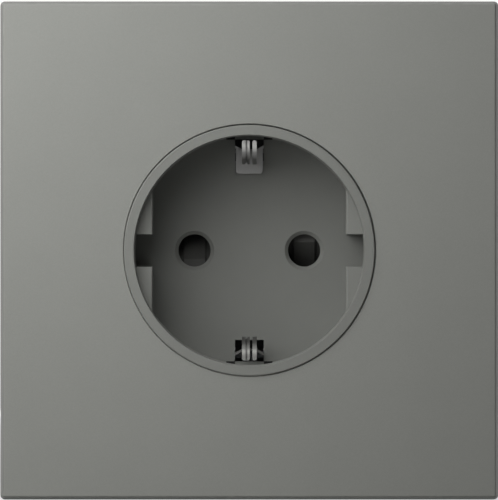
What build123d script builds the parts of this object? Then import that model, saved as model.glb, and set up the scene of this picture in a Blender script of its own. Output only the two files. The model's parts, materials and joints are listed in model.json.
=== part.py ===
from build123d import *
import os
from math import asin, atan2, cos, degrees, hypot, radians, sin

# A flush wall socket with a round well, two pin holes, side earth clips and a turning pin shutter.
# It is drawn lying on its back: x to the right, y up the wall, z out of the wall towards the room,
# with z = 0 on the wall. Each piece is stood up against the wall when it is written.

# Cover plate
plate_size = 86.0
plate_depth = 8.5
plate_draft = 3.7
plate_front_wall = 2.0
plate_side_wall = 1.8
plate_corner_radius = 0.8
plate_edge_radius = 0.3
plate_hole_chamfer = 0.12
plate_hole_x = 0.045
plate_hole_y = 0.06
plate_collar_wall = 1.6
plate_rib_thickness = 1.0
plate_rib_depth = 2.0
plate_ribs_per_side = 3

# Snap hooks of the plate, on the flanges of the mounting frame
hook_spacing = 44.0
hook_width = 6.0
hook_thickness = 1.4
hook_catch = 0.8
hook_catch_height = 1.1
hook_lead = 1.0
hook_clearance = 0.15

# Mounting frame, folded from steel sheet
frame_side_gap = 3.2
frame_end_gap = 5.2
frame_thickness = 1.0
frame_opening_gap = 0.4
frame_flange_height = 4.6
frame_bend_radius = 0.6
frame_corner_radius = 3.0
frame_window_sill = 1.7
fixing_spacing = 60.3
fixing_slot_width = 4.4
fixing_slot_length = 7.5

# Socket insert: rim, well, floor and key tabs
rim_diameter = 43.2
rim_gap = 0.12
rim_proud = 0.35
rim_edge_chamfer = 0.15
well_diameter = 39.5
well_depth = 17.5
well_lead = 0.2
well_lead_depth = 1.2
floor_thickness = 2.2
flange_thickness = 1.8
tab_chord = 16.7
tab_drop = 3.0
tab_edge_radius = 0.25
tab_notch = 5.6
pin_spacing = 19.0
pin_hole_diameter = 5.6
pin_hole_chamfer = 0.6
pin_diameter = 4.8
pin_length = 19.0
pin_end_room = 0.75

# Earth clip windows in the well floor and wall
clip_window_width = 5.0
clip_window_inner = 15.5
clip_window_outer = 19.25
wall_window_width = 8.0
wall_window_drop = 3.5

# Turning shutter and its carrier
rotor_gap = 0.3
rotor_height = 5.5
rotor_land = 1.45
rotor_pad_width = 4.7
rotor_skirt = 0.5
rotor_block_lead = 2.9
rotor_block_tail = 3.4
rotor_bevel = 0.55
rotor_toe = 1.0
rotor_web = 1.8
hub_radius = 3.6
pivot_radius = 2.0
pivot_clearance = 0.15
shutter_travel = 36.0
chamber_gap = 0.4
chamber_wall = 1.2
stop_width = 4.0
stop_clearance = 1.0
carrier_thickness = 1.2
carrier_corner = 3.0
carrier_pin_hole_room = 0.4
spring_wire = 0.45
spring_turns = 2
spring_wire_sides = 6
spring_pitch = 0.65
spring_clearance = 0.3
spring_bend_radius = 0.7
tang_clearance = 0.15

# Rear housing and its cover
housing_size = 52.5
housing_corner_radius = 4.0
housing_wall = 1.8
rear_cover_thickness = 2.4
rear_cover_chamfer = 1.0
barrier_height = 2.0
barrier_thickness = 1.4
panel_depth = 0.8
panel_top_margin = 5.0
panel_side_gap = 3.3
panel_corner = 2.0
fit_clearance = 0.15

# Screws that clamp insert, frame, housing and rear cover together
case_screw_inset = 4.95
case_screw_diameter = 2.9
case_screw_head = 5.2
case_screw_head_height = 2.0
case_screw_reach = 5.6
case_boss_diameter = 5.2
case_column_diameter = 7.0
case_seat_depth = 0.8
case_column_drop = 1.0
case_boss_cap = 0.7
screw_clearance = 0.2
thread_clearance = 0.05
head_clearance = 0.3
drive_slot_width = 0.8
drive_slot_depth = 0.9
screw_head_chamfer = 0.5
screw_tip_chamfer = 0.55

# Pin contacts
contact_thickness = 0.6
contact_height = 8.5
contact_throat = 1.6
contact_cradle_height = 2.2
contact_preload = 0.25
contact_bend_height = 4.0
contact_flare = 0.7
contact_flare_length = 1.8
contact_bend_radius = 1.0
grip_room = 0.9
grip_spring_thickness = 0.4
grip_spring_height = 3.0
grip_spring_gap = 0.05
grip_spring_start = 0.3

# Terminals, one for each conductor
terminal_pitch = 13.2
terminal_cover = 5.25
terminal_width = 8.4
terminal_depth = 7.6
nut_thickness = 2.8
wire_room = 3.0
clamp_thickness = 1.2
clamp_lip = 0.5
terminal_screw_diameter = 3.4
terminal_head_diameter = 6.0
terminal_head_height = 2.2
wire_hole_diameter = 3.2
wire_hole_offset = 3.1
wire_funnel = 0.5

# Earth bracket and its terminal plate
strip_thickness = 0.5
strip_width = 5.0
leg_radius = 17.05
leg_width = 2.54
ear_rise = 0.65
ear_height = 7.0
ear_above_floor = 0.9
nose_radius = 14.8
nose_above_floor = 5.6
nose_bend_radius = 1.6
flare_radius = 16.4
flare_bend_radius = 1.9
tip_radius = 19.0
tip_above_floor = 11.0
tip_corner_radius = 0.35
tip_flat = 0.04
knee_radius = 3.0
tine_slot = 0.45
tine_slot_x = 0.3
tine_crease = 0.3
tine_crease_x = -0.5
tine_crease_depth = 0.3
foot_inner = 13.3
foot_corner_radius = 0.6
foot_gap = 0.05
earth_plate_reach = 8.15
rivet_reach = 4.35
rivet_diameter = 2.4
rivet_head_diameter = 4.0
rivet_head_height = 0.6

# Levels along z, from the plate's front back into the wall
z_rim = plate_depth + rim_proud
z_floor = z_rim - well_depth
z_floor_back = z_floor - floor_thickness
z_rotor = z_floor_back - rotor_gap
z_web = z_rotor - rotor_bevel
z_rotor_back = z_rotor - rotor_height
z_carrier = z_rotor_back - rotor_gap
z_base = z_carrier - carrier_thickness
z_pocket = z_floor - pin_length - pin_end_room
z_back = z_pocket - rear_cover_thickness
z_tab = z_rim - tab_drop
z_flange = frame_thickness + flange_thickness
z_strip = z_base - fit_clearance
z_earth_plate = z_strip - strip_thickness
z_earth_plate_back = z_earth_plate - contact_thickness
z_terminal_screw = z_pocket + terminal_depth / 2
z_boss = -case_column_drop
z_case_seat = z_back + case_seat_depth
z_case_tip = z_boss + case_screw_reach
z_boss_top = z_case_tip + head_clearance + case_boss_cap

# Places worked out from the sizes above
rim_radius = rim_diameter / 2
well_radius = well_diameter / 2
pin_x = pin_spacing / 2
plate_hole_radius = rim_radius + rim_gap
rotor_pad_inner = pin_x - rotor_pad_width / 2
rotor_pad_outer = pin_x + rotor_pad_width / 2
rotor_block_inner = rotor_pad_inner - rotor_skirt
rotor_block_outer = rotor_pad_outer + rotor_skirt
rotor_radius = hypot(rotor_block_outer, rotor_block_tail)
chamber_radius = rotor_radius + chamber_gap
spring_radius = hub_radius + spring_clearance + spring_wire / 2
frame_width = plate_size - 2 * (plate_side_wall + frame_side_gap)
frame_height = plate_size - 2 * (plate_side_wall + frame_end_gap)
housing_inner = housing_size - 2 * housing_wall
case_screw_offset = housing_size / 2 - case_screw_inset
terminal_columns = {"live": -terminal_pitch, "earth": 0.0, "neutral": terminal_pitch}
terminal_floor = terminal_cover - housing_size / 2
head_top = terminal_floor + fit_clearance + terminal_head_height
clamp_top = head_top + clamp_thickness
terminal_tail_y = clamp_top + wire_room + contact_thickness / 2
nut_bottom = terminal_tail_y + contact_thickness / 2
wire_y = clamp_top + wire_room / 2
earth_plate_inner = terminal_tail_y + earth_plate_reach
rivet_y = terminal_tail_y + rivet_reach
four_corners = [(case_screw_offset * i, case_screw_offset * j) for i in (-1, 1) for j in (-1, 1)]


def prism(sketch, z_low, z_high):
    """A flat outline raised from one level to another."""
    return Pos(0, 0, z_low) * extrude(sketch, amount=z_high - z_low)


def disc(radius, z_low, z_high, x=0.0, y=0.0):
    return prism(Pos(x, y) * Circle(radius), z_low, z_high)


def tube(outer, inner, z_low, z_high):
    return prism(Circle(outer) - Circle(inner), z_low, z_high)


def block(x_low, x_high, y_low, y_high, z_low, z_high):
    """A block between two corners."""
    middle = ((x_low + x_high) / 2, (y_low + y_high) / 2, (z_low + z_high) / 2)
    return Pos(*middle) * Box(x_high - x_low, y_high - y_low, z_high - z_low)


def rod_y(radius, x, z, y_low, y_high):
    """A round bar along y."""
    return Pos(x, y_low, z) * Rot(-90, 0, 0) * extrude(Circle(radius), amount=y_high - y_low)


def side_prism(outline, x_low, x_high):
    """An outline drawn in (y, z) and raised along x."""
    face = Plane.YZ * outline
    return Pos(x_low, 0, 0) * extrude(face, amount=x_high - x_low, dir=(1, 0, 0))


def ribbon(wire, thickness):
    """The flat outline of a strip of even thickness that follows a wire."""
    return make_face(wire.offset_2d(thickness / 2))


def mirrored(part):
    """A piece together with its copy across the middle of the socket."""
    return part + mirror(part, Plane.XZ)


def slotted_screw(diameter, length, head_diameter, head_height):
    """A slotted cheese head screw: head from z = 0 down, shank up from z = 0."""
    head = disc(head_diameter / 2, -head_height, 0)
    head = chamfer(head.edges().group_by(Axis.Z)[0], screw_head_chamfer)
    slot = Box(head_diameter, drive_slot_width, 2 * drive_slot_depth)
    shank = disc(diameter / 2, 0, length)
    shank = chamfer(shank.edges().group_by(Axis.Z)[-1], screw_tip_chamfer)
    return head - Pos(0, 0, -head_height) * slot + shank


def cover_plate():
    """The drafted square shell with its round hole, collar, ribs and snap hooks."""
    outline = RectangleRounded(plate_size, plate_size, plate_corner_radius)
    shell = extrude(outline, amount=plate_depth, taper=plate_draft)
    shell = fillet(shell.faces().sort_by(Axis.Z)[-1].edges(), plate_edge_radius)
    inside = plate_size - 2 * plate_side_wall
    z_wall = plate_depth - plate_front_wall
    inner_outline = RectangleRounded(inside, inside, plate_corner_radius)
    cavity = extrude(inner_outline, amount=z_wall, taper=plate_draft)
    collar_radius = plate_hole_radius + plate_collar_wall
    z_collar = z_flange + rim_gap
    plate = shell - cavity
    rib_pitch = inside / (plate_ribs_per_side + 1)
    for i in range(plate_ribs_per_side):
        along = (i + 1) * rib_pitch - inside / 2
        rib = shell & block(
            along - plate_rib_thickness / 2, along + plate_rib_thickness / 2,
            inside / 2 - plate_rib_depth, (inside + plate_side_wall) / 2,
            plate_front_wall, z_wall + plate_front_wall / 2,
        )
        for turn in (0, 90, 180, 270):
            plate += Rot(0, 0, turn) * rib
    z_collar_top = plate_depth - plate_front_wall / 2
    plate += disc(collar_radius, z_collar, z_collar_top, plate_hole_x, plate_hole_y)
    plate -= disc(plate_hole_radius, 0, plate_depth, plate_hole_x, plate_hole_y)
    hook = snap_hook(z_wall)
    for x in (-hook_spacing / 2, hook_spacing / 2):
        plate += Pos(x, 0, 0) * hook + Pos(x, 0, 0) * mirror(hook, Plane.XZ)
    rim = plate.edges().filter_by(GeomType.CIRCLE).filter_by(lambda e: e.radius > rim_radius)
    rim = rim.filter_by(lambda e: e.radius < collar_radius).sort_by(Axis.Z)[-1]
    return chamfer(rim, plate_hole_chamfer)


def snap_hook(z_root):
    """One cantilever hook outside the frame's flange, with its catch in the flange's window."""
    face = frame_height / 2 + hook_clearance
    catch_high = frame_window_sill + hook_clearance + hook_catch_height
    catch_low = catch_high - hook_catch_height
    outline = Polyline(
        (face, z_root + plate_front_wall / 2),
        (face, catch_high),
        (face - hook_catch, catch_high),
        (face - hook_catch, (catch_low + catch_high) / 2),
        (face, catch_low),
        (face, catch_low - hook_lead),
        (face + hook_thickness, catch_low - hook_lead),
        (face + hook_thickness, z_root + plate_front_wall / 2),
        close=True,
    )
    return side_prism(make_face(outline), -hook_width / 2, hook_width / 2)


def mounting_frame():
    """The steel frame: flat sheet flanged top and bottom, open for the well, bosses and box screws."""
    half = frame_height / 2
    section = FilletPolyline(
        (-half + frame_thickness / 2, frame_flange_height),
        (-half + frame_thickness / 2, frame_thickness / 2),
        (half - frame_thickness / 2, frame_thickness / 2),
        (half - frame_thickness / 2, frame_flange_height),
        radius=frame_bend_radius + frame_thickness / 2,
    )
    frame = side_prism(strip_face(section, frame_thickness), -frame_width / 2, frame_width / 2)
    outline = RectangleRounded(frame_width, frame_height, frame_corner_radius)
    frame &= prism(outline, 0, frame_flange_height)
    frame -= disc(rim_radius + frame_opening_gap, 0, frame_thickness)
    for x, y in four_corners:
        frame -= disc(case_boss_diameter / 2 + screw_clearance, 0, frame_thickness, x, y)
    for side in (-1, 1):
        slot = Pos(side * fixing_spacing / 2, 0) * SlotOverall(fixing_slot_length, fixing_slot_width)
        frame -= prism(slot, 0, frame_thickness)
    window_top = frame_window_sill + hook_catch_height + 2 * hook_clearance
    window = hook_width / 2 + hook_clearance
    for x in (-hook_spacing / 2, hook_spacing / 2):
        frame -= block(x - window, x + window, -half, half, frame_window_sill, window_top)
    return frame


def strip_face(wire, thickness):
    """A folded strip's section with square ends, drawn on both sides of its middle line."""
    left = wire.offset_2d(thickness / 2, side=Side.LEFT, closed=True)
    right = wire.offset_2d(thickness / 2, side=Side.RIGHT, closed=True)
    return make_face(left) + make_face(right)


def socket_insert():
    """Rim, well, floor, key tabs, pin holes and clip windows, with a square flange and four bosses."""
    insert = disc(rim_radius, z_floor_back, z_rim)
    insert += prism(
        RectangleRounded(housing_size, housing_size, housing_corner_radius), frame_thickness, z_flange
    )
    for x, y in four_corners:
        pilot_radius = case_screw_diameter / 2 + thread_clearance
        insert += disc(case_boss_diameter / 2, z_boss, z_boss_top, x, y)
        insert -= disc(pilot_radius, z_boss, z_case_tip + head_clearance, x, y)
    insert -= disc(well_radius, z_floor, z_rim)
    lead = Cone(well_radius, well_radius + well_lead, well_lead_depth)
    insert -= Pos(0, 0, z_rim - well_lead_depth / 2) * lead
    rim_edge = insert.faces().sort_by(Axis.Z)[-1].edges().sort_by(SortBy.LENGTH)[-1]
    insert = chamfer(rim_edge, rim_edge_chamfer)
    insert += key_tabs()
    for side in (-1, 1):
        insert -= disc(pin_hole_diameter / 2, z_floor_back, z_floor, side * pin_x)
        funnel = Cone(
            pin_hole_diameter / 2, pin_hole_diameter / 2 + pin_hole_chamfer, pin_hole_chamfer
        )
        insert -= Pos(side * pin_x, 0, z_floor - pin_hole_chamfer / 2) * funnel
    return insert - mirrored(clip_window()) - foot_pocket()


def key_tabs():
    """The four tabs that stand in from the sides of the well, in pairs with a notch between."""
    half_notch = tab_notch / 2
    cheek = disc(well_radius + well_lead, z_floor, z_tab)
    tabs = Part()
    for side in (-1, 1):
        for up in (-1, 1):
            x_far, y_far = side * rim_radius, up * rim_radius
            chunk = block(
                min(side * tab_chord, x_far), max(side * tab_chord, x_far),
                min(up * half_notch, y_far), max(up * half_notch, y_far), z_floor, z_tab,
            )
            tab = chunk & cheek
            top_edges = tab.edges().filter_by(Axis.Y).group_by(Axis.Z)[-1]
            crest = top_edges.sort_by(lambda e: abs(e.center().X))[0]
            tabs += fillet(crest, tab_edge_radius)
    return tabs


def clip_window():
    """The opening in the floor for the upper earth clip, with a wider one in the wall above the floor."""
    half = clip_window_width / 2
    floor_window = block(-half, half, clip_window_inner, clip_window_outer, z_floor_back, z_floor)
    half_wall = wall_window_width / 2
    wall_window = block(
        -half_wall, half_wall, clip_window_outer, rim_radius, z_floor, z_rim - wall_window_drop
    )
    return floor_window + wall_window


def foot_pocket():
    """The shallow seat in the floor for the foot of the upper earth clip."""
    half = clip_window_width / 2
    z_seat = z_floor - strip_thickness - foot_gap
    return block(-half, half, foot_inner - fit_clearance, clip_window_inner, z_seat, z_floor)


def shutter_carrier():
    """The tray behind the well floor: a notched plate, round chamber wall, pivot and two stops."""
    width = housing_inner - 2 * fit_clearance
    height = 2 * case_screw_offset - case_column_diameter - 2 * fit_clearance
    tray = prism(RectangleRounded(width, height, carrier_corner), z_base, z_carrier)
    half = strip_width / 2 + fit_clearance
    notch = block(-half, half, leg_radius - fit_clearance, housing_inner / 2, z_base, z_carrier)
    tray -= mirrored(notch)
    tray += tube(chamber_radius + chamber_wall, chamber_radius, z_carrier, z_floor_back)
    tray += disc(pivot_radius, z_carrier, z_floor_back)
    inner = chamber_radius - stop_width
    lead = degrees(asin(rotor_block_lead / inner)) + stop_clearance
    tail = degrees(asin(rotor_block_tail / inner)) + shutter_travel + stop_clearance
    for turn in (0, 180):
        tray += Rot(0, 0, turn + tail) * stop_sector(180 - lead - tail)
    for side in (-1, 1):
        pin_room = pin_hole_diameter / 2 + carrier_pin_hole_room
        tray -= disc(pin_room, z_base, z_carrier, side * pin_x)
    tang = spring_path().vertices().sort_by(Axis.Z)[0]
    return tray - spring_eye(tang, z_base, z_carrier)


def stop_sector(angle):
    """A curved block of the chamber wall, from the x axis round by an angle."""
    outer, inner = chamber_radius + chamber_wall / 2, chamber_radius - stop_width
    section = Plane.XZ * Pos((outer + inner) / 2, (z_carrier + z_floor_back) / 2) * Rectangle(
        outer - inner, z_floor_back - z_carrier
    )
    return revolve(section, Axis.Z, angle)


def shutter_rotor():
    """Hub, webs and two ramps that cover the pin holes and turn aside as pins push on them."""
    pad = side_prism(ramp_outline(z_rotor), rotor_pad_inner, rotor_pad_outer)
    crown = pad.faces().filter_by(lambda f: f.normal_at().Z > 0).edges()
    sides = crown.filter_by(lambda e: abs(e.tangent_at(0).X) < abs(e.tangent_at(0).Y))
    skirt = side_prism(ramp_outline(z_web), rotor_block_inner, rotor_block_outer)
    ramp = chamfer(sides, rotor_bevel) + skirt
    web = block(0, rotor_block_inner, 0, rotor_block_tail, z_web - rotor_web, z_web)
    rotor = disc(hub_radius, z_rotor_back, z_rotor)
    for turn in (0, 180):
        rotor += Rot(0, 0, turn) * (ramp + web)
    rotor -= disc(pivot_radius + pivot_clearance, z_rotor_back, z_rotor)
    tang = spring_path().vertices().sort_by(Axis.Z)[-1]
    return rotor - spring_eye(tang, z_web - rotor_web, z_web)


def ramp_outline(z_top):
    """The section in (y, z) of one ramp: a flat land, and a slope down to the toe."""
    slope_drop = rotor_height - rotor_toe
    outline = Polyline(
        (rotor_block_tail, z_top),
        (rotor_land, z_top),
        (-rotor_block_lead, z_top - slope_drop),
        (-rotor_block_lead, z_rotor_back),
        (rotor_block_tail, z_rotor_back),
        close=True,
    )
    return make_face(outline)


def shutter_spring():
    """A torsion coil round the hub, with one tang in the rotor's web and one in the carrier."""
    path = spring_path()
    section = Plane(path @ 0, z_dir=path % 0) * RegularPolygon(spring_wire / 2, spring_wire_sides)
    return sweep(section, path)


def spring_path():
    """The spring's middle line: tang, bend, coil, bend and tang, turned so that the web holds the last."""
    coil = Pos(0, 0, z_rotor_back + spring_wire) * Helix(
        spring_pitch, spring_turns * spring_pitch, spring_radius
    )
    low_bend, low_tang = spring_end(coil @ 0, coil % 0 * -1, -1, z_base + fit_clearance)
    high_bend, high_tang = spring_end(coil @ 1, coil % 1, 1, z_web - fit_clearance)
    tip = high_tang @ 1
    web_middle = asin(rotor_block_tail / 2 / hypot(tip.X, tip.Y))
    turn = degrees(web_middle - atan2(tip.Y, tip.X))
    return Rot(0, 0, turn) * Wire([low_tang, low_bend, coil.edge(), high_bend, high_tang])


def spring_end(point, along, up, z_end):
    """A bend from one end of the coil, and a straight tang along the pivot."""
    axis = Vector(0, 0, up)
    inward = along.cross(axis).normalized().cross(along)

    def on_bend(angle):
        return point + (inward * (1 - cos(angle)) + along * sin(angle)) * spring_bend_radius

    turn = radians(along.get_angle(axis))
    end = on_bend(turn)
    return ThreePointArc(point, on_bend(turn / 2), end), Line(end, (end.X, end.Y, z_end))


def spring_eye(tang, z_low, z_high):
    """The hole that holds one tang of the spring."""
    return disc(spring_wire / 2 + tang_clearance, z_low, z_high, tang.X, tang.Y)


def contact_wire():
    """The middle line of a pin contact about its pin, with the tail running out to the terminal."""
    a, b = contact_throat, contact_cradle_height
    tail_end = terminal_pitch + terminal_width / 2 - fit_clearance - pin_x
    tail = FilletPolyline(
        (-a, -b), (-a, terminal_tail_y), (tail_end, terminal_tail_y), radius=contact_bend_radius
    )
    flare = Line((a + contact_flare, -b - contact_flare_length), (a, -b))
    return Wire([flare, *grip_edges(), *tail.edges()])


def grip_edges():
    """The two leaves of a contact, each bowed round the pin, and the bend that joins them."""
    a, b = contact_throat, contact_cradle_height
    bulge = pin_diameter / 2 - contact_preload + contact_thickness / 2
    top = contact_bend_height
    return [
        ThreePointArc((a, -b), (bulge, 0), (a, b)),
        Line((a, b), (a, top)),
        ThreePointArc((a, top), (0, top + a), (-a, top)),
        Line((-a, top), (-a, b)),
        ThreePointArc((-a, b), (-bulge, 0), (-a, -b)),
    ]


def pin_contact():
    """The neutral contact: two sprung leaves round the pin and a tail with a hole for its screw."""
    contact = prism(ribbon(contact_wire(), contact_thickness), z_pocket, z_pocket + contact_height)
    hole = rod_y(
        terminal_screw_diameter / 2 + screw_clearance, terminal_pitch - pin_x, z_terminal_screw,
        terminal_tail_y - contact_thickness, terminal_tail_y + contact_thickness,
    )
    return Pos(pin_x, 0, 0) * (contact - hole)


def grip_spring():
    """A steel clip that presses the two leaves of the neutral contact together."""
    clear = contact_thickness / 2 + grip_spring_gap + grip_spring_thickness / 2
    first, *middle, last = grip_edges()
    leaves = [first.trim(grip_spring_start, 1), *middle, last.trim(0, 1 - grip_spring_start)]
    wire = Wire(leaves).offset_2d(clear, side=Side.RIGHT, closed=False)
    z_low = z_pocket + (contact_height - grip_spring_height) / 2
    clip = prism(ribbon(wire, grip_spring_thickness), z_low, z_low + grip_spring_height)
    return Pos(pin_x, 0, 0) * clip


def terminal_nut(x):
    """The threaded brass block behind a terminal's tail."""
    half = terminal_width / 2 - fit_clearance
    nut = block(
        x - half, x + half, nut_bottom, nut_bottom + nut_thickness,
        z_pocket, z_pocket + terminal_depth,
    )
    bore = terminal_screw_diameter / 2 + thread_clearance
    return nut - rod_y(bore, x, z_terminal_screw, nut_bottom, nut_bottom + nut_thickness)


def clamp_plate(x):
    """The plate that the terminal's screw pulls up against the wires, with two turned up lips."""
    half = terminal_width / 2 - fit_clearance
    z_low, z_high = z_pocket + fit_clearance, z_pocket + terminal_depth
    plate = block(x - half, x + half, head_top, clamp_top, z_low, z_high)
    for edge, inner in ((x - half, x - half + clamp_lip), (x + half - clamp_lip, x + half)):
        plate += block(edge, inner, head_top, clamp_top + clamp_lip, z_low, z_high)
    hole = terminal_screw_diameter / 2 + screw_clearance
    return plate - rod_y(hole, x, z_terminal_screw, head_top, clamp_top)


def terminal_screw(x):
    """A terminal's screw, turned from the underside of the housing."""
    length = nut_bottom + nut_thickness - head_top
    screw = slotted_screw(terminal_screw_diameter, length, terminal_head_diameter, terminal_head_height)
    return Pos(x, head_top, z_terminal_screw) * Rot(-90, 0, 0) * screw


def earth_bracket():
    """One strip: base behind the shutter, two legs with ears, and a split sprung nose on each leg."""
    half = strip_width / 2
    reach = leg_radius + strip_thickness
    base = block(-half, half, -reach, reach, z_earth_plate, z_strip)
    bracket = base + mirrored(earth_leg()) + earth_foot()
    hole = disc(rivet_diameter / 2, z_earth_plate, z_strip, 0, rivet_y)
    return bracket - hole


def earth_leg():
    """The upper leg: a flat stem with two folded ears, then the tines of the sprung nose."""
    z_shoulder = z_floor + ear_above_floor
    half = leg_width / 2
    stem = block(-half, half, leg_radius, leg_radius + strip_thickness, z_earth_plate, z_shoulder)
    tip_x = strip_width / 2
    ears = Polyline(
        (-tip_x, leg_radius + ear_rise),
        (-half, leg_radius),
        (half, leg_radius),
        (tip_x, leg_radius + ear_rise),
        (tip_x, leg_radius + ear_rise + strip_thickness),
        (half, leg_radius + strip_thickness),
        (-half, leg_radius + strip_thickness),
        (-tip_x, leg_radius + ear_rise + strip_thickness),
        close=True,
    )
    leg = stem + prism(make_face(ears), z_shoulder - ear_height, z_shoulder)
    for x_low, x_high, thickness in nose_tines():
        leg += side_prism(nose_section(thickness), x_low, x_high)
    outer_tine = half - tine_slot_x - tine_slot / 2
    middle_tine = tine_slot_x - tine_slot / 2 - tine_crease_x - tine_crease / 2
    corner = min(tip_corner_radius, (outer_tine - tip_flat) / 2, middle_tine - tip_flat)
    tips = leg.edges().filter_by(Axis.Z).group_by(Axis.Y)[-1].group_by(SortBy.LENGTH)[-1]
    return fillet(tips, corner)


def nose_tines():
    """The widths of the nose across x: outer tine, thin crease, middle tine, slot, outer tine."""
    half = leg_width / 2
    crease, slot = tine_crease / 2, tine_slot / 2
    thin = strip_thickness - tine_crease_depth
    return [
        (-half, tine_crease_x - crease, strip_thickness),
        (tine_crease_x - crease, tine_crease_x + crease, thin),
        (tine_crease_x + crease, tine_slot_x - slot, strip_thickness),
        (tine_slot_x + slot, half, strip_thickness),
    ]


def nose_section(thickness):
    """The section in (y, z) of the upper nose, measured from its outer face."""
    z_shoulder = z_floor + ear_above_floor
    outer = leg_radius + strip_thickness
    path = FilletPolyline(
        (outer, z_shoulder - knee_radius / 2),
        (outer, z_shoulder + knee_radius / 2),
        (nose_radius + strip_thickness, z_floor + nose_above_floor),
        (flare_radius, z_floor + tip_above_floor),
        (tip_radius, z_floor + tip_above_floor),
        radius=[knee_radius / 2, nose_bend_radius, flare_bend_radius],
    )
    return make_face(Wire(path.edges()).offset_2d(thickness, side=Side.LEFT, closed=True))


def earth_foot():
    """The foot of the upper leg, folded flat into its seat in the well floor, up to the ears."""
    half = clip_window_width / 2 - fit_clearance
    half_leg = leg_width / 2
    root = leg_radius + strip_thickness / 2
    rise = ear_rise * (half - half_leg) / (strip_width / 2 - half_leg)
    outline = Polyline(
        (-half, foot_inner), (half, foot_inner), (half, root + rise), (half_leg, root),
        (-half_leg, root), (-half, root + rise), close=True,
    )
    z_top = z_floor - foot_gap
    foot = prism(make_face(outline), z_top - strip_thickness, z_top)
    corners = foot.edges().filter_by(Axis.Z).group_by(Axis.Y)[0]
    return fillet(corners, foot_corner_radius)


def earth_terminal_plate():
    """The angle plate riveted behind the earth strip, with a hole for the earth terminal's screw."""
    half = terminal_width / 2 - fit_clearance
    low, high = terminal_tail_y - contact_thickness / 2, terminal_tail_y + contact_thickness / 2
    flange = block(-half, half, low, earth_plate_inner, z_earth_plate_back, z_earth_plate)
    drop = block(-half, half, low, high, z_pocket, z_earth_plate)
    plate = flange + drop - disc(rivet_diameter / 2, z_earth_plate_back, z_earth_plate, 0, rivet_y)
    hole = rod_y(
        terminal_screw_diameter / 2 + screw_clearance, 0, z_terminal_screw,
        terminal_tail_y - contact_thickness, terminal_tail_y + contact_thickness,
    )
    return plate - hole


def earth_rivet():
    """The rivet through strip and plate, flush in front and headed behind."""
    shank = disc(rivet_diameter / 2, z_earth_plate_back, z_strip, 0, rivet_y)
    z_head = z_earth_plate_back - rivet_head_height
    return shank + disc(rivet_head_diameter / 2, z_head, z_earth_plate_back, 0, rivet_y)


def rear_housing():
    """The moulded housing: a square skirt in front, and a base with pockets right through it."""
    outline = RectangleRounded(housing_size, housing_size, housing_corner_radius)
    body = prism(outline, z_pocket, 0)
    inner_corner = housing_corner_radius - housing_wall
    hollow = prism(RectangleRounded(housing_inner, housing_inner, inner_corner), z_base, 0)
    for x, y in four_corners:
        hollow -= disc(case_column_diameter / 2, z_base, z_boss, x, y)
    body -= hollow
    for x, y in four_corners:
        body -= disc(case_screw_diameter / 2 + screw_clearance, z_pocket, z_boss, x, y)
    body -= contact_pocket() + mirror(contact_pocket(), Plane.YZ)
    for x in terminal_columns.values():
        body -= terminal_pocket(x)
    return body - earth_channel()


def rear_cover():
    """The cover behind the pockets, with wire holes, barriers, a shallow recess and screw seats."""
    outline = RectangleRounded(housing_size, housing_size, housing_corner_radius)
    cover = prism(outline, z_back, z_pocket)
    cover = chamfer(cover.faces().sort_by(Axis.Z)[0].edges(), rear_cover_chamfer)
    cover += terminal_barriers()
    cover -= back_panel()
    for x, y in four_corners:
        cover -= disc(case_screw_diameter / 2 + screw_clearance, z_back, z_pocket, x, y)
        cover -= disc(case_screw_head / 2 + head_clearance, z_back, z_case_seat, x, y)
    for x in terminal_columns.values():
        cover -= wire_holes(x)
    return cover


def terminal_barriers():
    """Two ribs on the cover that keep the wires of neighbouring terminals apart."""
    ribs = Part()
    half = barrier_thickness / 2
    for side in (-1, 1):
        x = side * terminal_pitch / 2
        ribs += block(x - half, x + half, head_top, nut_bottom, z_back - barrier_height, z_back)
    return ribs


def back_panel():
    """The shallow recess in the cover above the terminals, between the screw seats."""
    half = case_screw_offset - case_screw_head / 2 - head_clearance - panel_side_gap
    low, high = nut_bottom + nut_thickness, housing_size / 2 - panel_top_margin
    outline = Pos(0, (low + high) / 2) * RectangleRounded(2 * half, high - low, panel_corner)
    return prism(outline, z_back, z_back + panel_depth)


def contact_pocket():
    """The pocket of the neutral contact: room for the grip to spring, and a close slot for its tail."""
    slot = ribbon(contact_wire(), contact_thickness + 2 * fit_clearance)
    half = pin_diameter / 2 + contact_thickness + grip_spring_thickness + grip_room
    top = contact_bend_height + contact_throat + contact_thickness + grip_spring_thickness + fit_clearance
    bottom = -contact_cradle_height - contact_flare_length - contact_thickness
    room = Pos(0, (top + bottom) / 2) * RectangleRounded(2 * half, top - bottom, contact_throat)
    return Pos(pin_x, 0, 0) * prism(slot + room, z_pocket, z_base)


def terminal_pocket(x):
    """The pocket of one terminal, with its screw hole below."""
    half = terminal_width / 2
    top = nut_bottom + nut_thickness + fit_clearance
    pocket = block(x - half, x + half, terminal_floor, top, z_pocket, z_base)
    driver = terminal_head_diameter / 2 + head_clearance
    return pocket + rod_y(driver, x, z_terminal_screw, -housing_size / 2, terminal_floor)


def wire_holes(x):
    """The two funnelled wire holes of one terminal."""
    radius = wire_hole_diameter / 2
    holes = Part()
    for side in (-1, 1):
        wire_x = x + side * wire_hole_offset
        holes += disc(radius, z_back, z_pocket, wire_x, wire_y)
        funnel = Cone(radius + wire_funnel, radius, wire_funnel)
        holes += Pos(wire_x, wire_y, z_back + wire_funnel / 2) * funnel
    return holes


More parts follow.
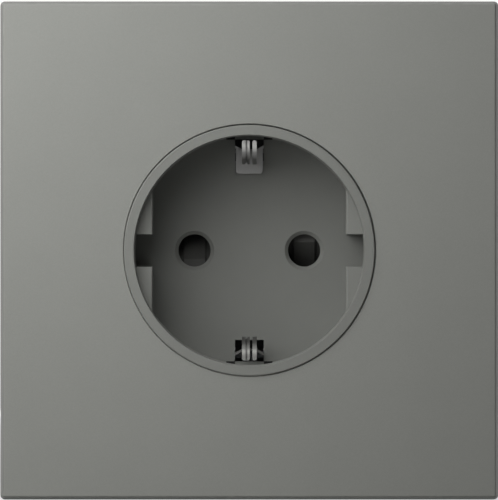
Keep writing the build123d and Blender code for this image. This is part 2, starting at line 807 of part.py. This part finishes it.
def earth_channel():
    """The channel for the earth strip, its terminal plate and the rivet's head."""
    half = strip_width / 2 + fit_clearance
    reach = leg_radius + strip_thickness + fit_clearance
    channel = block(-half, half, -reach, reach, z_earth_plate, z_base)
    half_plate = terminal_width / 2
    plate_end = earth_plate_inner + fit_clearance
    channel += block(-half_plate, half_plate, terminal_tail_y, plate_end, z_earth_plate_back, z_base)
    head = rivet_head_diameter / 2 + fit_clearance
    z_head = z_earth_plate_back - rivet_head_height - fit_clearance
    return channel + disc(head, z_head, z_base, 0, rivet_y)


def housing_screws():
    """Four long self tapping screws from the back, through cover and housing into the insert."""
    length = z_case_tip - z_case_seat
    screw = slotted_screw(case_screw_diameter, length, case_screw_head, case_screw_head_height)
    return Compound([Pos(x, y, z_case_seat) * screw for x, y in four_corners])


def write(name, part):
    """Stands a piece up against the wall and writes it."""
    export_step(Rot(90, 0, 0) * part, f"parts/{name}.step")


os.makedirs("parts", exist_ok=True)
write("cover_plate", cover_plate())
write("socket_insert", socket_insert())
write("mounting_frame", mounting_frame())
write("rear_housing", rear_housing())
write("rear_cover", rear_cover())
write("shutter_rotor", shutter_rotor())
write("shutter_spring", shutter_spring())
write("shutter_carrier", shutter_carrier())
write("earth_bracket", earth_bracket())
write("earth_terminal_plate", earth_terminal_plate())
write("earth_rivet", earth_rivet())
write("neutral_contact", pin_contact())
write("live_contact", mirror(pin_contact(), Plane.YZ))
write("neutral_grip_spring", grip_spring())
write("live_grip_spring", mirror(grip_spring(), Plane.YZ))
for conductor, x in terminal_columns.items():
    write(f"{conductor}_terminal_nut", terminal_nut(x))
    write(f"{conductor}_clamp_plate", clamp_plate(x))
    write(f"{conductor}_terminal_screw", terminal_screw(x))
write("housing_screws", housing_screws())
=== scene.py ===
import json
import math

import bpy
from mathutils import Matrix, Vector


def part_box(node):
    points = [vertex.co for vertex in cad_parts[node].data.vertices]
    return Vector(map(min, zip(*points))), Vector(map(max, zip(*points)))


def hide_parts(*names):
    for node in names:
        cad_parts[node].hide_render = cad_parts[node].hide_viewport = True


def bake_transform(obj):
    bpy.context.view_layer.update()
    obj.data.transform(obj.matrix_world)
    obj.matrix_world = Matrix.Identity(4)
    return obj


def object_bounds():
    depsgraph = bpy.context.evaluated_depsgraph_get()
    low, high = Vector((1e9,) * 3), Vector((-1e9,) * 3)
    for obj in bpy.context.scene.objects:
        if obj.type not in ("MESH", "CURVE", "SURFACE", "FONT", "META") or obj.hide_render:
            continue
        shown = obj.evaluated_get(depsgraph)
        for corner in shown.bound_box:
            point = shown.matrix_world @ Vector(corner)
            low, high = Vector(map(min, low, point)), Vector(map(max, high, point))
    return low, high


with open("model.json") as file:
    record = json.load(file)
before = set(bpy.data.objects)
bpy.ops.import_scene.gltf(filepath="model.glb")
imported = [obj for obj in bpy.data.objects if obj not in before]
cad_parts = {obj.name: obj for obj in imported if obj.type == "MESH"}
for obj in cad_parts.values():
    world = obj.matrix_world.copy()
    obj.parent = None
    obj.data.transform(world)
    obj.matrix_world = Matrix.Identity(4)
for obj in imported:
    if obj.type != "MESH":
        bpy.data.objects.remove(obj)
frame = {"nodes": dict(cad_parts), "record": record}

cad_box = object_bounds()

# Everything is in metres, in the frame of the part: x to the right, y into the wall, z up.
MM = 0.001
TO_WALL = Vector((0, 1, 0))

# Picture, in pixels: its frame, the width of the plate in it, and how far the plate lies off its middle
IMAGE_WIDTH = 498
IMAGE_HEIGHT = 500
PLATE_PIXELS = 499.6
PLATE_RIGHT = 0.35
PLATE_DOWN = 0.45

# Camera: its distance from the face of the plate, and its sensor, which Blender takes in millimetres
CAMERA_DISTANCE = 2.5
SENSOR = 36.0

# Soft lights, with their power in watts, and the strength of the world where it isn't seen
LIGHTS = {
    "key": dict(place=Vector((-0.079, -0.112, 0.091)), size=0.18, power=0.415),
    "fill": dict(place=Vector((0.35, -0.9, 0.1)), size=0.8, power=0.06),
    "back": dict(place=Vector((0, 1.4, 0.05)), size=0.14, power=6.0),
    "side": dict(place=Vector((0.9, 0.25, 0.25)), size=0.6, power=0.8),
}
AMBIENT = 0.02

# Colours, as linear light
PLATE_GREY = (0.215, 0.219, 0.203)
INSERT_GREY = (0.184, 0.188, 0.175)
# Painted shade: the dark laid on the insert's plastic at both ends of the wall windows beside the earth
# clips
PAINTED_WINDOW_SHADE = (0.012, 0.012, 0.012)
HOUSING_GREY = (0.036, 0.037, 0.038)
SHUTTER_BLACK = (0.070, 0.070, 0.066)
ZINC = (0.44, 0.45, 0.46)
# Earth clips: plain nickel at the flat tips, and a darker colour painted as shade deeper in, which dims
# the lamp's highlight on the bends
NICKEL = (0.34, 0.34, 0.33)
NICKEL_PAINTED_SHADE = (0.22, 0.22, 0.215)
# Painted shade that darkens the lower earth clip
LOWER_CLIP_PAINTED_SHADE = (0.52, 0.52, 0.51)
SPRING_STEEL = (0.50, 0.50, 0.49)
BRONZE = (0.70, 0.43, 0.23)
BRASS = (0.76, 0.57, 0.26)
FLOOR_GREY = (0.45, 0.45, 0.445)
WHITE = (1, 1, 1)

# Lacquer of the plate: flakes, a soft cloud that is mixed with them, and orange peel
FLAKE_SIZE = 0.11 * MM
LACQUER_CLOUD = 9 * MM
LACQUER_CLOUD_SHARE = 0.4
LACQUER_CONTRAST = 0.07
LACQUER_ROUGHNESS = (0.58, 0.70)
LACQUER_SPECULAR = 0.25
PEEL_SIZE = 0.35 * MM
PEEL_DEPTH = 0.002 * MM

# Moulded plastic: its eroded grain, and a soft cloud that also swings the roughness
GRAIN_DETAIL = 3.0
GRAIN_DEPTH = 0.006 * MM
PLASTIC_CLOUD = 6 * MM
PLASTIC_CONTRAST = 0.10
PLASTIC_SWING = 0.05

# Metal: its drawing marks and a soft cloud, which together swing the roughness down and up
MARK_SIZE = 0.12 * MM
MARK_DETAIL = 4.0
MARK_DEPTH = 0.003 * MM
METAL_CLOUD = 2.5 * MM
METAL_CONTRAST = 0.12
METAL_SMOOTHER = 0.08
METAL_ROUGHER = 0.10

# Earth clips: the depths between which the plain nickel of the flat tips turns into the darker colour
# painted as shade deeper in, with a rougher finish, and the height from the middle at which the painted
# shade of the lower clip is full below and gone above
CLIP_SHADE_START = -2.84 * MM
CLIP_SHADE_FULL = -2.6 * MM
LOWER_SHADE_HEIGHT = 8 * MM
CLIP_ROUGHNESS = (0.34, 0.72)
CLIP_MARK_DEPTH = 0.002 * MM

# Painted shade at both ends of the wall windows beside the earth clips, laid on solid plastic: the middle
# and half width of each across the part, how far from the middle they start up and down, and the depth
# from which the shade is painted
WINDOW_END = 3.25 * MM
WINDOW_END_HALF = 0.75 * MM
WINDOW_START = 19.2 * MM
WINDOW_DEPTH = 8.0 * MM

# Floor: its half width, its cloud, and the glow that rises with the distance from the part
FLOOR_HALF = 3.0
FLOOR_CLOUD = 40 * MM
FLOOR_CONTRAST = 0.02
FLOOR_ROUGHNESS = 0.9
FLOOR_SPECULAR = 0.1
GLOW_NEAR = 0.6
GLOW_FAR = 1.0
GLOW_START = 0.1
GLOW_END = 2.5

# Shutter spring: a close coil round the pivot, wound towards the room, with a tang at each end
COIL_RADIUS = 4.125 * MM
COIL_PITCH = 0.65 * MM
COIL_TURNS = 2
COIL_DEPTH = 16.2 * MM
STEPS_PER_TURN = 56
WIRE_RADIUS = 0.225 * MM
WIRE_SIDES = 14
BEND_RADIUS = 0.7 * MM
BEND_STEPS = 10
CARRIER_TANG_DEPTH = 18.0 * MM
ROTOR_TANG_DEPTH = 11.85 * MM
WEB_HALF_WIDTH = 1.7 * MM


def set_inputs(tree, node, inputs):
    """Sets inputs of a node, by name or number, to fixed values or links them to other nodes' outputs."""
    for name, value in inputs.items():
        if isinstance(value, bpy.types.NodeSocket):
            tree.links.new(value, node.inputs[name])
        else:
            node.inputs[name].default_value = value


def add_node(tree, kind, inputs, **settings):
    """A new shader node with its settings and inputs."""
    node = tree.nodes.new("ShaderNode" + kind)
    for name, value in settings.items():
        setattr(node, name, value)
    set_inputs(tree, node, inputs)
    return node


def new_material(name):
    """A new node material with its tree and its principled shader."""
    material = bpy.data.materials.new(name)
    material.use_nodes = True
    return material, material.node_tree, material.node_tree.nodes["Principled BSDF"]


def object_coordinates(tree, stretch=(1, 1, 1)):
    """Coordinates in metres that stay with the piece, scaled along each axis."""
    source = tree.nodes.new("ShaderNodeTexCoord")
    mapping = add_node(tree, "Mapping", {"Vector": source.outputs["Object"], "Scale": stretch})
    return mapping.outputs["Vector"]


def axes(tree, vector):
    """The X, Y and Z of a vector."""
    return add_node(tree, "SeparateXYZ", {"Vector": vector}).outputs


def noise(tree, vector, size, detail=2.0):
    """Soft noise whose features are about one size across, in metres."""
    node = add_node(tree, "TexNoise", {"Vector": vector, "Scale": 1 / size, "Detail": detail})
    return node.outputs["Fac"]


def flakes(tree, vector, size):
    """A random level for each small cell, as from metal flakes in a lacquer."""
    cells = add_node(tree, "TexVoronoi", {"Vector": vector, "Scale": 1 / size})
    return add_node(tree, "SeparateColor", {"Color": cells.outputs["Color"]}).outputs["Red"]


def spread(tree, level, low, high, start=0.0, end=1.0):
    """Maps a level between start and end onto a range."""
    limits = {"From Min": start, "From Max": end, "To Min": low, "To Max": high}
    return add_node(tree, "MapRange", {"Value": level, **limits}).outputs["Result"]


def calculate(tree, operation, *values):
    """One operation of arithmetic on levels and numbers."""
    return add_node(tree, "Math", dict(enumerate(values)), operation=operation).outputs["Value"]


def mixed(tree, first, second, share=0.5, **settings):
    """Two levels mixed by the share of the second."""
    inputs = {"A": first, "B": second, "Factor": share}
    return add_node(tree, "Mix", inputs, **settings).outputs["Result"]


def mixed_colors(tree, first, second, share, blend_type="MIX"):
    """Two colours mixed by the share of the second."""
    return mixed(tree, first, second, share, data_type="RGBA", blend_type=blend_type)


def opaque(color):
    """A colour with full alpha, as Blender's sockets take it."""
    return (*color, 1)


def shaded(tree, level, color, contrast):
    """One colour, made darker and lighter by a level."""
    dark = [c * (1 - contrast) for c in color]
    light = [min(c * (1 + contrast), 1.0) for c in color]
    return mixed_colors(tree, opaque(dark), opaque(light), level)


def bumps(tree, level, depth):
    """The normal of a surface that a level roughens by a depth in metres."""
    return add_node(tree, "Bump", {"Height": level, "Distance": depth, "Strength": 1.0}).outputs["Normal"]


def drawn_marks(tree, stretch):
    """Marks drawn out along an axis, and a level that mixes them with a cloudy finish."""
    marks = noise(tree, object_coordinates(tree, stretch), MARK_SIZE, MARK_DETAIL)
    cloud = noise(tree, object_coordinates(tree), METAL_CLOUD)
    return marks, mixed(tree, marks, cloud)


def lacquer(name, color):
    """Satin metallic lacquer: fine flakes under a faint orange peel."""
    material, tree, shader = new_material(name)
    place = object_coordinates(tree)
    flake = flakes(tree, place, FLAKE_SIZE)
    level = mixed(tree, flake, noise(tree, place, LACQUER_CLOUD), LACQUER_CLOUD_SHARE)
    set_inputs(tree, shader, {
        "Base Color": shaded(tree, level, color, LACQUER_CONTRAST),
        "Roughness": spread(tree, flake, *LACQUER_ROUGHNESS),
        "Specular IOR Level": LACQUER_SPECULAR,
        "Normal": bumps(tree, noise(tree, place, PEEL_SIZE), PEEL_DEPTH),
    })
    return material


def moulding(name, color, roughness, grain, specular):
    """Moulded plastic with a fine eroded grain."""
    material, tree, shader = new_material(name)
    place = object_coordinates(tree)
    fine = noise(tree, place, grain, GRAIN_DETAIL)
    cloud = noise(tree, place, PLASTIC_CLOUD)
    set_inputs(tree, shader, {
        "Base Color": shaded(tree, mixed(tree, fine, cloud), color, PLASTIC_CONTRAST),
        "Roughness": spread(tree, cloud, roughness - PLASTIC_SWING, roughness + PLASTIC_SWING),
        "Specular IOR Level": specular,
        "Normal": bumps(tree, fine, GRAIN_DEPTH),
    })
    return material


def well_plastic_painted_shade(name, color, dark, roughness, grain, specular):
    """The insert's grey plastic, with painted shade at both ends of the wall windows beside the earth
    clips.
    """
    material = moulding(name, color, roughness, grain, specular)
    tree = material.node_tree
    across, depth, height = axes(tree, object_coordinates(tree))
    from_middle = calculate(tree, "ABSOLUTE", across)
    at_end = calculate(tree, "COMPARE", from_middle, WINDOW_END, WINDOW_END_HALF)
    beyond = calculate(tree, "GREATER_THAN", calculate(tree, "ABSOLUTE", height), WINDOW_START)
    deep = calculate(tree, "GREATER_THAN", depth, WINDOW_DEPTH)
    window_shade_mask = calculate(tree, "MULTIPLY", calculate(tree, "MULTIPLY", at_end, beyond), deep)
    shader = tree.nodes["Principled BSDF"]
    grey = shader.inputs["Base Color"].links[0].from_socket
    # Painted shade: a dark colour laid over the grey where the mask marks the ends of the wall windows
    set_inputs(tree, shader, {"Base Color": mixed_colors(tree, grey, opaque(dark), window_shade_mask)})
    return material


def clip_metal(name, plain, deep_shade, lower_shade, stretch):
    """Nickel strip with painted shade: darker deeper in than at the flat tips, with a rougher finish
    there, and darker on the lower clip.
    """
    material, tree, shader = new_material(name)
    marks, level = drawn_marks(tree, stretch)
    place = axes(tree, object_coordinates(tree))
    # Painted shade: the share of the darker colour, which rises with depth from the flat tips and also
    # raises the roughness
    rough_and_painted_shade = spread(tree, place["Y"], 0.0, 1.0, CLIP_SHADE_START, CLIP_SHADE_FULL)
    # Painted shade: full on the lower clip and gone on the upper one, multiplied onto the colour
    lower_shade_share = spread(tree, place["Z"], 1.0, 0.0, -LOWER_SHADE_HEIGHT, LOWER_SHADE_HEIGHT)
    plain_color = shaded(tree, level, plain, METAL_CONTRAST)
    deep_shade_color = shaded(tree, level, deep_shade, METAL_CONTRAST)
    color = mixed_colors(tree, plain_color, deep_shade_color, rough_and_painted_shade)
    set_inputs(tree, shader, {
        "Base Color": mixed_colors(tree, color, opaque(lower_shade), lower_shade_share, "MULTIPLY"),
        "Roughness": spread(tree, mixed(tree, level, rough_and_painted_shade), *CLIP_ROUGHNESS),
        "Metallic": 1.0,
        "Normal": bumps(tree, marks, CLIP_MARK_DEPTH),
    })
    return material


def metal(name, color, roughness, stretch):
    """Plated or bare metal with drawing marks and a cloudy finish."""
    material, tree, shader = new_material(name)
    marks, level = drawn_marks(tree, stretch)
    set_inputs(tree, shader, {
        "Base Color": shaded(tree, level, color, METAL_CONTRAST),
        "Roughness": spread(tree, level, roughness - METAL_SMOOTHER, roughness + METAL_ROUGHER),
        "Metallic": 1.0,
        "Normal": bumps(tree, marks, MARK_DEPTH),
    })
    return material


# One finish for each material slot. A stretch below 1 draws the marks out along that axis.
MATERIALS = {
    "plate_grey": lacquer("plate_grey_lacquer", PLATE_GREY),
    # The insert's plastic carries painted shade at the ends of the wall windows beside the earth clips
    "insert_grey": well_plastic_painted_shade(
        "insert_grey_plastic_painted_shade", INSERT_GREY, PAINTED_WINDOW_SHADE, roughness=0.60, grain=0.09 * MM, specular=0.12,
    ),
    "housing_black": moulding(
        "housing_black_plastic", HOUSING_GREY, roughness=0.48, grain=0.12 * MM, specular=0.35,
    ),
    "shutter_dark": moulding(
        "shutter_dark_plastic", SHUTTER_BLACK, roughness=0.50, grain=0.10 * MM, specular=0.10,
    ),
    "zinc_steel": metal("zinc_steel_sheet", ZINC, roughness=0.55, stretch=(0.08, 1, 1)),
    "spring_steel": metal("spring_steel_wire", SPRING_STEEL, roughness=0.30, stretch=(1, 0.1, 1)),
    "earth_nickel": clip_metal(
        "earth_nickel_strip", NICKEL, NICKEL_PAINTED_SHADE, LOWER_CLIP_PAINTED_SHADE, stretch=(1, 0.08, 0.08),
    ),
    "contact_bronze": metal("contact_bronze_strip", BRONZE, roughness=0.30, stretch=(0.1, 0.1, 1)),
    "terminal_brass": metal("terminal_brass_block", BRASS, roughness=0.32, stretch=(1, 0.1, 1)),
    "screw_zinc": metal("screw_zinc_steel", ZINC, roughness=0.50, stretch=(1, 1, 1)),
}


def dress_cad_nodes():
    """Gives each piece the finish of its own slot."""
    for part in frame["record"]["subparts"]:
        piece = frame["nodes"][part["node"]]
        piece.data.materials.clear()
        piece.data.materials.append(MATERIALS[part["material_slot"]])


def add_object(name, data):
    """A new object in the scene."""
    thing = bpy.data.objects.new(name, data)
    bpy.context.scene.collection.objects.link(thing)
    return thing


def coil_point(turns):
    """A point of the coil and the direction of the wire there."""
    angle = 2 * math.pi * turns
    outward = Vector((math.cos(angle), 0, math.sin(angle)))
    round_the_pivot = Vector((-math.sin(angle), 0, math.cos(angle)))
    point = outward * COIL_RADIUS + TO_WALL * (COIL_DEPTH - COIL_PITCH * turns)
    along = round_the_pivot * 2 * math.pi * COIL_RADIUS - TO_WALL * COIL_PITCH
    return point, along.normalized()


def tang(point, along, axis, depth):
    """The bend from one end of the coil into an axis, and the straight tang on to its depth."""
    inward = along.cross(axis).normalized().cross(along)
    turn = along.angle(axis)
    bend = []
    for i in range(1, BEND_STEPS + 1):
        angle = turn * i / BEND_STEPS
        bend.append(point + (inward * (1 - math.cos(angle)) + along * math.sin(angle)) * BEND_RADIUS)
    return bend + [Vector((bend[-1].x, depth, bend[-1].z))]


def spring_line():
    """The spring's middle line, turned so that its front tang stands in the web of the rotor."""
    coil = [coil_point(i / STEPS_PER_TURN)[0] for i in range(STEPS_PER_TURN * COIL_TURNS + 1)]
    back_point, back_along = coil_point(0)
    front_point, front_along = coil_point(COIL_TURNS)
    back = tang(back_point, -back_along, TO_WALL, CARRIER_TANG_DEPTH)
    front = tang(front_point, front_along, -TO_WALL, ROTOR_TANG_DEPTH)
    tip = front[-1]
    turn = math.asin(WEB_HALF_WIDTH / math.hypot(tip.x, tip.z)) - math.atan2(tip.z, tip.x)
    turned = Matrix.Rotation(turn, 3, -TO_WALL)
    return [turned @ point for point in back[::-1] + coil + front]


def wire_mesh(name, line, radius, sides):
    """A round wire along a line of points, smooth along its length and flat at both ends."""
    last = len(line) - 1
    side = Vector((1, 0, 0))
    rings = []
    for i, point in enumerate(line):
        along = (line[min(i + 1, last)] - line[max(i - 1, 0)]).normalized()
        side = (side - along * side.dot(along)).normalized()
        across = along.cross(side)
        for k in range(sides):
            angle = 2 * math.pi * k / sides
            rings.append(point + (side * math.cos(angle) + across * math.sin(angle)) * radius)
    first_end = list(range(sides))[::-1]
    last_end = [last * sides + k for k in range(sides)]
    faces = [first_end, last_end]
    for i in range(last):
        for k in range(sides):
            a, b = i * sides + k, i * sides + (k + 1) % sides
            faces.append([a, b, b + sides, a + sides])
    mesh = bpy.data.meshes.new(name)
    mesh.from_pydata(rings, [], faces)
    for face in mesh.polygons:
        face.use_smooth = len(face.vertices) < sides
    return mesh


def add_spring():
    """The shutter's spring as round wire, in place of the spring from the part file, which is hidden. The
    real spring winds up as the rotor turns; this wire stays still.
    """
    mesh = wire_mesh("shutter_spring_wire", spring_line(), WIRE_RADIUS, WIRE_SIDES)
    mesh.materials.append(MATERIALS["spring_steel"])
    spring = add_object("shutter_spring_wire", mesh)
    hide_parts("shutter_spring")
    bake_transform(spring)


def seen_directly(tree):
    """1 for rays from the camera and for mirrored or refracted ones, else 0."""
    path = tree.nodes.new("ShaderNodeLightPath").outputs
    seen_or_mirrored = calculate(tree, "MAXIMUM", path["Is Camera Ray"], path["Is Glossy Ray"])
    return calculate(tree, "MAXIMUM", seen_or_mirrored, path["Is Transmission Ray"])


def pale_floor(name):
    """A matt finish that glows where it is seen, and so turns from pale grey to white further off."""
    material, tree, shader = new_material(name)
    place = object_coordinates(tree)
    set_inputs(tree, shader, {
        "Base Color": shaded(tree, noise(tree, place, FLOOR_CLOUD), FLOOR_GREY, FLOOR_CONTRAST),
        "Roughness": FLOOR_ROUGHNESS,
        "Specular IOR Level": FLOOR_SPECULAR,
    })
    distance = add_node(tree, "VectorMath", {0: place}, operation="LENGTH").outputs["Value"]
    rise = spread(tree, distance, GLOW_NEAR, GLOW_FAR, GLOW_START, GLOW_END)
    share = calculate(tree, "MULTIPLY", seen_directly(tree), rise)
    glow = add_node(tree, "Emission", {"Color": opaque(WHITE), "Strength": 1.0})
    blend = add_node(tree, "MixShader", {
        "Fac": share, 1: shader.outputs["BSDF"], 2: glow.outputs["Emission"],
    })
    set_inputs(tree, tree.nodes["Material Output"], {"Surface": blend.outputs["Shader"]})
    return material


def add_floor():
    """A wide floor just under the plate, which still takes the shadow of the part."""
    signs = [(-1, -1), (1, -1), (1, 1), (-1, 1)]
    corners = [(x * FLOOR_HALF, y * FLOOR_HALF, 0) for x, y in signs]
    mesh = bpy.data.meshes.new("floor")
    mesh.from_pydata(corners, [], [range(len(corners))])
    mesh.materials.append(pale_floor("floor_pale"))
    floor = add_object("floor", mesh)
    floor.location.z = cad_box[0].z


def light_world():
    """White where it is seen, and a low even light elsewhere."""
    world = bpy.data.worlds.new("studio")
    world.use_nodes = True
    bpy.context.scene.world = world
    tree = world.node_tree
    strength = spread(tree, seen_directly(tree), AMBIENT, 1.0)
    set_inputs(tree, tree.nodes["Background"], {"Color": opaque(WHITE), "Strength": strength})


def add_soft_light(name, place, size, power):
    """A square soft light turned to the middle of the part."""
    data = bpy.data.lights.new(name, "AREA")
    data.size = size
    data.energy = power
    light = add_object(name, data)
    light.location = place
    light.rotation_euler = (-place).to_track_quat("-Z", "Y").to_euler()
    light.visible_camera = False


def add_camera():
    """A long lens straight in front of the plate, turned to look along y and framed on its width."""
    low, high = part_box("cover_plate")
    pixel = (high.x - low.x) / PLATE_PIXELS
    data = bpy.data.cameras.new("camera")
    data.sensor_width = SENSOR
    data.lens = SENSOR * CAMERA_DISTANCE / (pixel * max(IMAGE_WIDTH, IMAGE_HEIGHT))
    camera = add_object("camera", data)
    camera.location = (-PLATE_RIGHT * pixel, low.y - CAMERA_DISTANCE, PLATE_DOWN * pixel)
    camera.rotation_euler = (math.pi / 2, 0, 0)
    bpy.context.scene.camera = camera


dress_cad_nodes()
add_spring()
add_floor()
light_world()
for light_name, settings in LIGHTS.items():
    add_soft_light(light_name, **settings)
add_camera()
bpy.context.scene.view_settings.view_transform = "Standard"
